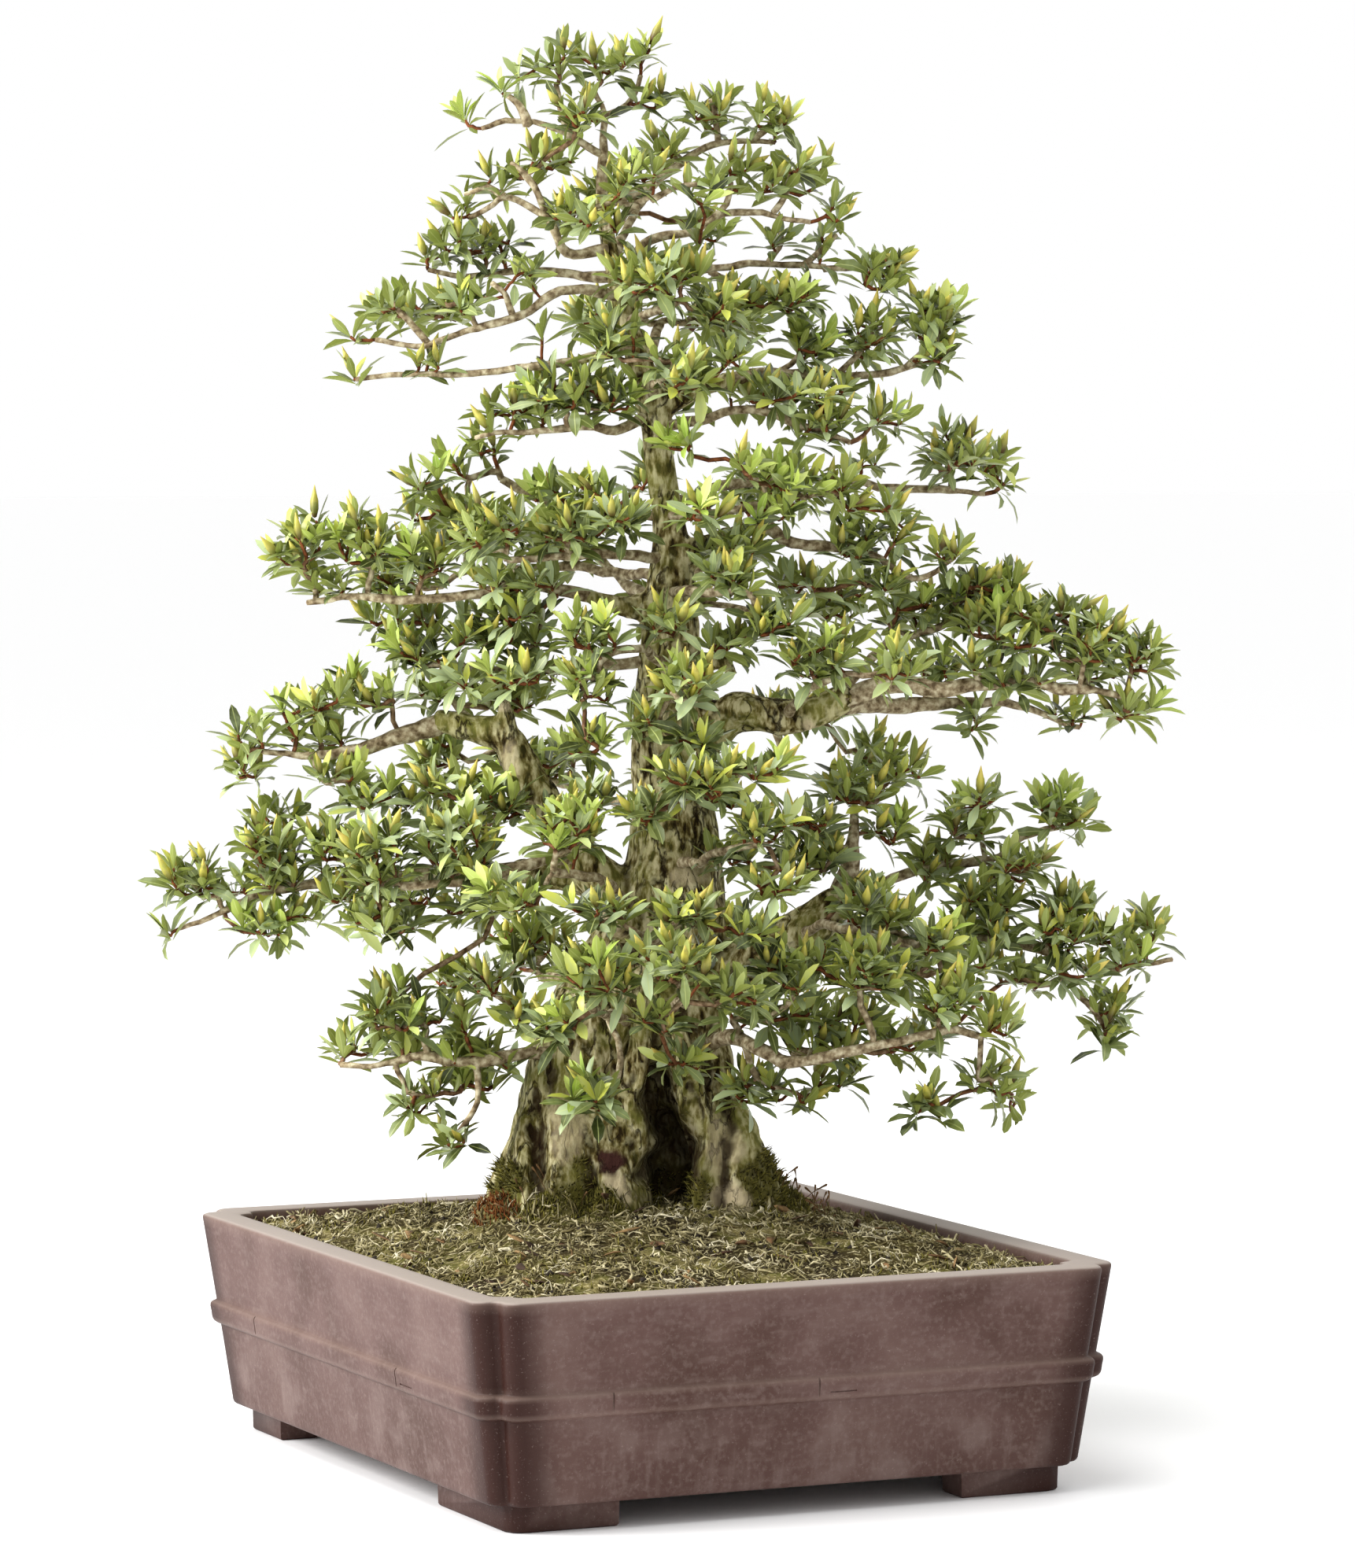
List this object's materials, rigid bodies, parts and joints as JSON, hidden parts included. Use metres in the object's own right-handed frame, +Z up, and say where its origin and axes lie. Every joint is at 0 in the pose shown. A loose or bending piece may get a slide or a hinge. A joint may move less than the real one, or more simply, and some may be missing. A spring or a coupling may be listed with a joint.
{
  "type": "satsuki azalea bonsai in pot",
  "caption": "Old azalea bonsai with a flared, split trunk and level tiers of small whorled leaves, in a rectangular unglazed pot with notched corners, a belt and feet.",
  "frame": {"origin": "middle of the whole object's bounds in plan, on the plane that the pot's feet stand on; the pot's own centre is at x -26 mm, y -16 mm", "axes": "+Z up, +X to the right along the pot's shorter side, +Y to the back along its longer side; the picture looks along +Y turned 24.6 degrees towards +X"},
  "size_m": [0.5849, 0.4934, 0.8599],
  "materials": {
    "stoneware": "matt unglazed",
    "screen_plastic": "matt",
    "earth": "grainy",
    "moss": "matt fibrous",
    "bark": "rough bark",
    "leaf": "satin leaf"
  },
  "bodies": {
    "root": {"pot": "stoneware", "drain_screen_front": "screen_plastic", "drain_screen_back": "screen_plastic", "soil": "earth", "moss_cover": "moss", "trunk": "bark", "spray_apex": "leaf", "spray_crown_right": "leaf", "spray_crown_high": "leaf", "spray_crown_left": "leaf", "spray_crown_front": "leaf", "spray_crown_back": "leaf", "spray_left_upper_bar": "leaf", "spray_left_upper": "leaf", "spray_left_upper_low": "leaf", "spray_left_mid": "leaf", "spray_left_shelf": "leaf", "spray_left_tier_outer": "leaf", "spray_left_tier_inner": "leaf", "spray_left_tier_back": "leaf", "spray_left_fifth": "leaf", "spray_centre_left": "leaf", "spray_left_sixth_outer": "leaf", "spray_left_sixth_inner": "leaf", "spray_left_seventh_outer": "leaf", "spray_left_seventh_inner": "leaf", "spray_left_eighth_high": "leaf", "spray_left_front": "leaf", "spray_low_left": "leaf", "spray_low_left_high": "leaf", "spray_front_low_left": "leaf", "spray_front_low_middle": "leaf", "spray_right_low": "leaf", "spray_right_ninth": "leaf", "spray_right_eighth_top": "leaf", "spray_right_eighth_outer": "leaf", "spray_right_eighth_front": "leaf", "spray_right_big_outer": "leaf", "spray_right_big_under": "leaf", "spray_right_big_top": "leaf", "spray_right_big_front": "leaf", "spray_right_third": "leaf", "spray_right_fourth": "leaf", "spray_right_fourth_front": "leaf", "spray_right_fifth": "leaf", "spray_right_fifth_low": "leaf", "spray_right_sixth": "leaf", "spray_centre_upper": "leaf", "spray_centre_mid": "leaf", "spray_centre_waist": "leaf", "spray_centre_chest": "leaf", "spray_front_middle": "leaf", "spray_front_right": "leaf", "spray_front_waist": "leaf", "spray_back_low_left": "leaf", "spray_back_low_right": "leaf", "spray_back_middle": "leaf", "spray_back_upper": "leaf", "spray_back_top": "leaf"}
  },
  "joints": []
}
